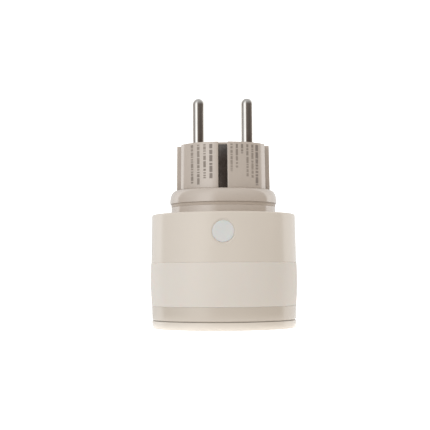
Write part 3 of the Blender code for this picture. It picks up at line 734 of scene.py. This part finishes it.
def hinge_metal():
    """The hinge's pin and the torsion spring wound round it, its two legs on the lid and the ring."""
    pin_r, reach = 0.75, 7.4
    ends = [(0, -reach), (pin_r, -reach, 0.2), (pin_r, reach, 0.2), (0, reach)]
    rod = lathe("hinge_rod", rounded(ends, closed=False, steps=3), 32)
    dressed(stood(rod, (1, 0, 0), (0, HINGE_Y, HINGE_Z)), HOUSING, "spring_steel", "hinge_pin")
    coil_r, half, count = 1.3, 2.1, 5 * 20
    points = [(-half, 23.7, 3.05), (-half, 24.4, 3.1), (-half, HINGE_Y - 0.5, HINGE_Z - coil_r)]
    for k in range(count + 1):
        angle = math.radians(270 + 18 * k)
        x = -half + 2 * half * k / count
        points.append((x, HINGE_Y + coil_r * math.cos(angle), HINGE_Z + coil_r * math.sin(angle)))
    points += [(half, HINGE_Y + y, z) for y, z in ((0.7, 3.45), (1.2, 3.8), (1.42, 4.8), (1.45, 6.2))]
    dressed(wire("closing_spring", points, 0.2), HOUSING, "spring_steel", "lid_spring")


def shutter_return_spring():
    """The spring behind the shutter, wound in even turns."""
    start, end, height, coil_r, turns, per_turn = -0.3, 9.0, 25.25, 0.5, 6, 24
    points = []
    for k in range(turns * per_turn + 1):
        angle = 2 * math.pi * k / per_turn
        y = start + 0.2 + (end - start - 0.4) * k / (turns * per_turn)
        points.append((coil_r * math.cos(angle), y, height + coil_r * math.sin(angle)))
    coil = wire("shutter_return_spring", points, 0.15)
    dressed(coil, HOUSING, "spring_steel", "shutter_spring")
    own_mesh(coil)


def wire(name, points, radius):
    """A round wire along the points, as one closed mesh."""
    curve = bpy.data.curves.new(name, "CURVE")
    curve.dimensions = "3D"
    curve.bevel_depth = radius * MM
    curve.bevel_resolution = 3
    curve.use_fill_caps = True
    spline = curve.splines.new("POLY")
    spline.points.add(len(points) - 1)
    for spot, point in zip(spline.points, points):
        spot.co = (*(Vector(point) * MM), 1)
    drawn = bpy.data.objects.new("drawn_wire", curve)
    bpy.context.scene.collection.objects.link(drawn)
    bpy.context.view_layer.update()
    shown = drawn.evaluated_get(bpy.context.evaluated_depsgraph_get())
    bm = bmesh.new()
    bm.from_mesh(shown.to_mesh())
    bpy.data.objects.remove(drawn)
    bmesh.ops.remove_doubles(bm, verts=bm.verts, dist=0.005 * MM)
    return finished(name, bm)


# ---------------------------------------------------------------- socket


def socket_recess():
    """The socket cup: rounded mouth, guide pads either side, contact holes with a lead-in and clip slots."""
    profile = rounded(
        [
            (0, RECESS_FLOOR),
            (RECESS_R, RECESS_FLOOR, 0.4),
            (RECESS_R, RIM_Z, 0.5),
            (22.2, RIM_Z, 0.15),
            (22.2, 6.1),
            (21.3, 6.1),
            (21.3, CUP_TOP, 0.4),
            (0, CUP_TOP),
        ],
        closed=False,
        steps=6,
    )
    cup = lathe("socket_recess", profile)
    pads = []
    for side in (-1, 1):
        for half in (-1, 1):
            left, right = sorted((side * 16.6, side * 19.8))
            near, far = sorted((half * 2.8, half * 7.4))
            pads.append(block("pad", (left, near, 5.8), (right, far, 22.6), 0.5, 0.4))
    join(cup, *pads)
    holes = []
    for side in (-1, 1):
        bore, mouth = CONTACT_HOLE_R, CONTACT_HOLE_R + 0.5
        hole = [(0, 20.0), (mouth, 20.0), (mouth, 22.05), (bore + 0.15, 22.4), (bore, 22.8), (bore, 26.0), (0, 26.0)]
        holes.append(moved(lathe("contact_hole", hole, 64), side * PIN_X))
        near, far = sorted((side * 17.4, side * 19.2))
        holes.append(block("clip_slot", (-1.9, near, 20.0), (1.9, far, 26.0), 0.3, 0.0))
    dressed(cut(cup, *holes), HOUSING, "socket_plastic", "socket_cup")


def smooth_path(points, per=6):
    """Catmull-Rom points through the given ones."""
    made = []
    for i in range(len(points) - 1):
        p0, p1, p2, p3 = (Vector(points[min(max(i + k, 0), len(points) - 1)]) for k in (-1, 0, 1, 2))
        slope, bend, twist = p2 - p0, 2 * p0 - 5 * p1 + 4 * p2 - p3, 3 * p1 - p0 - 3 * p2 + p3
        for k in range(per):
            t = k / per
            made.append(0.5 * (2 * p1 + slope * t + bend * t**2 + twist * t**3))
    return [tuple(p) for p in made] + [tuple(points[-1])]


def ribbon(path, thickness):
    """The closed outline of a bent strip whose middle follows a path of (y, z)."""
    left, right = [], []
    for i, point in enumerate(path):
        before, after = Vector(path[max(i - 1, 0)]), Vector(path[min(i + 1, len(path) - 1)])
        along = (after - before).normalized()
        across = Vector((-along.y, along.x)) * thickness / 2
        left.append(tuple(Vector(point) + across))
        right.append(tuple(Vector(point) - across))
    return left + right[::-1]


def earth_clips():
    """The socket's sprung strips, bowed in so that they press on a plug's side contacts."""
    foot = [(18.35, 24.6), (18.4, 22.0), (18.4, 18.2)]
    nose = [(17.5, 15.4), (16.4, 13.0), (15.9, 11.6), (16.3, 10.0), (17.6, 8.0), (18.5, 6.8)]
    outline = ribbon(smooth_path(foot + nose), 0.5)
    for name, node, side in (
        ("socket_clip_front", "earth_clip_front", -1),
        ("socket_clip_back", "earth_clip_back", 1),
    ):
        turned = [(side * y, z) for y, z in outline]
        area = sum(a[0] * b[1] - b[0] * a[1] for a, b in zip(turned, turned[1:] + turned[:1]))
        clip = slab(name, turned if area > 0 else turned[::-1], -1.5, 1.5, 0.1, axis="X", smooth=40)
        dressed(clip, HOUSING, "spring_steel", node)


def carried_over_nodes():
    """CAD nodes whose shape is right: the sealed inner pieces, the shutter and the contacts."""
    slots = {row["node"]: row["material_slot"] for row in frame["record"]["subparts"]}
    for name, node in frame["nodes"].items():
        if node.hide_render:
            continue
        look = LOOKS[slots[name]]
        node.data.materials.clear()
        node.data.materials.append(look)


# ---------------------------------------------------------------- studio

# what polished surfaces see round the studio: azimuth in degrees, to the right of the camera's side, and brightness
WALLS = (
    (-180, 0.8), (-160, 0.85), (-138, 1.0), (-124, 1.4), (-116, 1.8), (-112, 0.2), (-92, 0.2), (-78, 0.45),
    (-64, 0.8), (-54, 1.3), (-44, 1.6), (-30, 1.7), (-22, 0.9), (-12, 0.18), (15, 0.1), (45, 0.08), (58, 0.08),
    (70, 0.14), (98, 0.2), (106, 0.3), (111, 2.0), (120, 1.8), (135, 1.4), (158, 1.1), (180, 1.0),
)
# the ramp holds numbers up to one, so levels are divided by PEAK and multiplied back
PEAK = 4.0
OVERHEAD = 0.6
# walls darker than DIM are tinted brown
DIM, BROWN = 0.25, (1.15, 0.9, 0.74)
# the light that falls on everything: an even part, a part from the front left, and less from overhead
AMBIENT, FROM_FRONT, FROM_ABOVE = 1.24, 0.18, -0.55
FRONT = Vector((-0.75, -0.65, 0.0)).normalized()
COOL, WARM = (0.975, 0.99, 1.02), (1.02, 0.96, 0.89)
BACKDROP = (1.6, 1.6, 1.6)
# the floor's own light, what reflections see on top of it, and the ring of light at the foot
FLOOR_GLOW, FLOOR_SHINE, FOOT_GLOW = 0.42, 0.9, 2.0
FLOOR_GREY = (0.35, 0.35, 0.35, 1)
# between these distances from the object, in metres, the floor fades out of reflections
SHINE_NEAR, SHINE_FAR = 0.035, 0.075


def math_node(tree, operation, first, second=None):
    node = tree.nodes.new("ShaderNodeMath")
    node.operation = operation
    for socket, value in zip(node.inputs, (first, second)):
        if value is None:
            continue
        if isinstance(value, (int, float)):
            socket.default_value = value
        else:
            tree.links.new(value, socket)
    return node.outputs["Value"]


def scaled(tree, colour, factor):
    node = tree.nodes.new("ShaderNodeVectorMath")
    node.operation = "SCALE"
    tree.links.new(colour, node.inputs[0])
    if isinstance(factor, (int, float)):
        node.inputs["Scale"].default_value = factor
    else:
        tree.links.new(factor, node.inputs["Scale"])
    return node.outputs["Vector"]


def mixed(tree, factor, first, second):
    """A colour mix whose ends are colours or sockets."""
    node = tree.nodes.new("ShaderNodeMix")
    node.data_type = "RGBA"
    tree.links.new(factor, node.inputs["Factor"])
    for key, end in (("A", first), ("B", second)):
        if isinstance(end, tuple):
            node.inputs[key].default_value = (*end, 1)
        else:
            tree.links.new(end, node.inputs[key])
    return node.outputs["Result"]


def walls_seen(tree, x, y, z):
    """The studio as polished surfaces see it: a ramp round the walls that fades into the overhead light."""
    azimuth = math_node(tree, "ARCTAN2", x, math_node(tree, "MULTIPLY", y, -1.0))
    turn = math_node(tree, "ADD", math_node(tree, "DIVIDE", azimuth, 2 * math.pi), 0.5)
    ramp = tree.nodes.new("ShaderNodeValToRGB")
    elements = ramp.color_ramp.elements
    elements.remove(elements[1])
    for i, (degrees, level) in enumerate(WALLS):
        place = (degrees + 180) / 360
        spot = elements.new(place) if i else elements[0]
        spot.position = place
        shade = BROWN if level < DIM else (1, 1, 1)
        spot.color = (*[level / PEAK * c for c in shade], 1)
    tree.links.new(turn, ramp.inputs["Fac"])
    rise = math_node(tree, "POWER", math_node(tree, "MAXIMUM", z, 0.0), 1.5)
    above = (OVERHEAD / PEAK,) * 3
    return scaled(tree, mixed(tree, rise, ramp.outputs["Color"], above), PEAK)


def light_given(tree, direction, x, z):
    """The studio as matt surfaces see it: even light, with more from the front left and less from above."""
    dot = tree.nodes.new("ShaderNodeVectorMath")
    dot.operation = "DOT_PRODUCT"
    dot.inputs[1].default_value = FRONT
    tree.links.new(direction, dot.inputs[0])
    level = math_node(tree, "ADD", math_node(tree, "MULTIPLY", dot.outputs["Value"], FROM_FRONT), AMBIENT)
    above = math_node(tree, "MULTIPLY", math_node(tree, "MAXIMUM", z, 0.0), FROM_ABOVE)
    side = spread(tree, x, 0, 1, -1, 1)
    return scaled(tree, mixed(tree, side, COOL, WARM), math_node(tree, "ADD", level, above))


def studio_world():
    """White behind the object, walls for reflections, and soft light for everything else."""
    world = bpy.data.worlds.new("studio")
    world.use_nodes = True
    bpy.context.scene.world = world
    tree = world.node_tree
    direction = tree.nodes.new("ShaderNodeTexCoord").outputs["Generated"]
    split = tree.nodes.new("ShaderNodeSeparateXYZ")
    tree.links.new(direction, split.inputs["Vector"])
    x, y, z = (split.outputs[k] for k in "XYZ")
    path = tree.nodes.new("ShaderNodeLightPath")
    light = light_given(tree, direction, x, z)
    lit = mixed(tree, path.outputs["Is Glossy Ray"], light, walls_seen(tree, x, y, z))
    shown = mixed(tree, path.outputs["Is Camera Ray"], lit, BACKDROP)
    tree.links.new(shown, tree.nodes["Background"].inputs["Color"])


def floor():
    """A plain pale floor like a light table. The camera sees only its light, because the opened lid swings below it."""
    made, tree, shader = nodes_of("pale_floor")
    shader.inputs["Base Color"].default_value = FLOOR_GREY
    shader.inputs["Roughness"].default_value = 0.9
    shader.inputs["Specular IOR Level"].default_value = 0.0
    shader.inputs["Emission Color"].default_value = (1, 1, 1, 1)
    path = tree.nodes.new("ShaderNodeLightPath")
    gloss = path.outputs["Is Glossy Ray"]
    shine = math_node(tree, "MULTIPLY", gloss, FLOOR_SHINE)
    glow = math_node(tree, "ADD", shine, FLOOR_GLOW)
    tree.links.new(glow, shader.inputs["Emission Strength"])
    reach = tree.nodes.new("ShaderNodeVectorMath")
    reach.operation = "LENGTH"
    tree.links.new(tree.nodes.new("ShaderNodeTexCoord").outputs["Object"], reach.inputs[0])
    away = spread(tree, reach.outputs["Value"], 0, 1, SHINE_NEAR, SHINE_FAR)
    clear = tree.nodes.new("ShaderNodeBsdfTransparent")
    mix = tree.nodes.new("ShaderNodeMixShader")
    tree.links.new(math_node(tree, "MULTIPLY", away, gloss), mix.inputs["Fac"])
    tree.links.new(shader.outputs["BSDF"], mix.inputs[1])
    tree.links.new(clear.outputs["BSDF"], mix.inputs[2])
    tree.links.new(mix.outputs["Shader"], tree.nodes["Material Output"].inputs["Surface"])
    bm = bmesh.new()
    half, height = 6, -0.0002
    bm.faces.new([bm.verts.new((x * half, y * half, height)) for x, y in ((-1, -1), (1, -1), (1, 1), (-1, 1))])
    plane = finished("studio_floor", bm)
    plane.data.materials.append(made)
    plane.visible_camera = False


def foot_glow():
    """A narrow ring of light from the floor close round the object's foot. Only its light shows, not the ring."""
    made, _, shader = nodes_of("foot_glow")
    shader.inputs["Base Color"].default_value = FLOOR_GREY
    shader.inputs["Emission Color"].default_value = (1, 1, 1, 1)
    shader.inputs["Emission Strength"].default_value = FOOT_GLOW
    inner, outer, low, high = 28.4, 29.6, -0.19, -0.15
    ring = lathe("studio_foot_glow", [(inner, low), (outer, low), (outer, high), (inner, high)], 128)
    ring.data.materials.append(made)
    ring.visible_camera = False
    ring.visible_glossy = False


def softbox(name, spot, aim, size, power):
    lamp = bpy.data.lights.new(name, "AREA")
    lamp.shape = "RECTANGLE"
    lamp.size, lamp.size_y = size
    lamp.energy = power
    obj = bpy.data.objects.new(name, lamp)
    obj.location = spot
    obj.rotation_mode = "QUATERNION"
    obj.rotation_quaternion = (Vector(aim) - Vector(spot)).to_track_quat("-Z", "Y")
    obj.visible_glossy = False
    bpy.context.scene.collection.objects.link(obj)


def camera():
    lens = bpy.data.cameras.new("camera")
    lens.sensor_width = 36.0
    lens.lens = 92.3
    lens.clip_start, lens.clip_end = 0.01, 20.0
    eye = bpy.data.objects.new("camera", lens)
    spot, aim, roll = Vector((0.002, -0.430, 0.0204)), Vector((-0.0033, 0.0, 0.0438)), math.radians(0.4)
    eye.location = spot
    eye.rotation_mode = "QUATERNION"
    level = (aim - spot).to_track_quat("-Z", "Y")
    eye.rotation_quaternion = level @ Matrix.Rotation(-roll, 3, "Z").to_quaternion()
    bpy.context.scene.collection.objects.link(eye)
    bpy.context.scene.camera = eye


def studio():
    bpy.context.scene.view_settings.view_transform = "Standard"
    studio_world()
    floor()
    foot_glow()
    softbox("key", (-0.55, -0.75, 0.55), (0, 0, 0.04), (0.5, 0.5), 1.0)
    camera()


plug_head()
pins()
earth_strips()
head_marks()
housing_shell()
light_band()
neck()
socket_ring()
screws()
button_disc()
lid_disc()
hinge_metal()
shutter_return_spring()
socket_recess()
earth_clips()
carried_over_nodes()
studio()
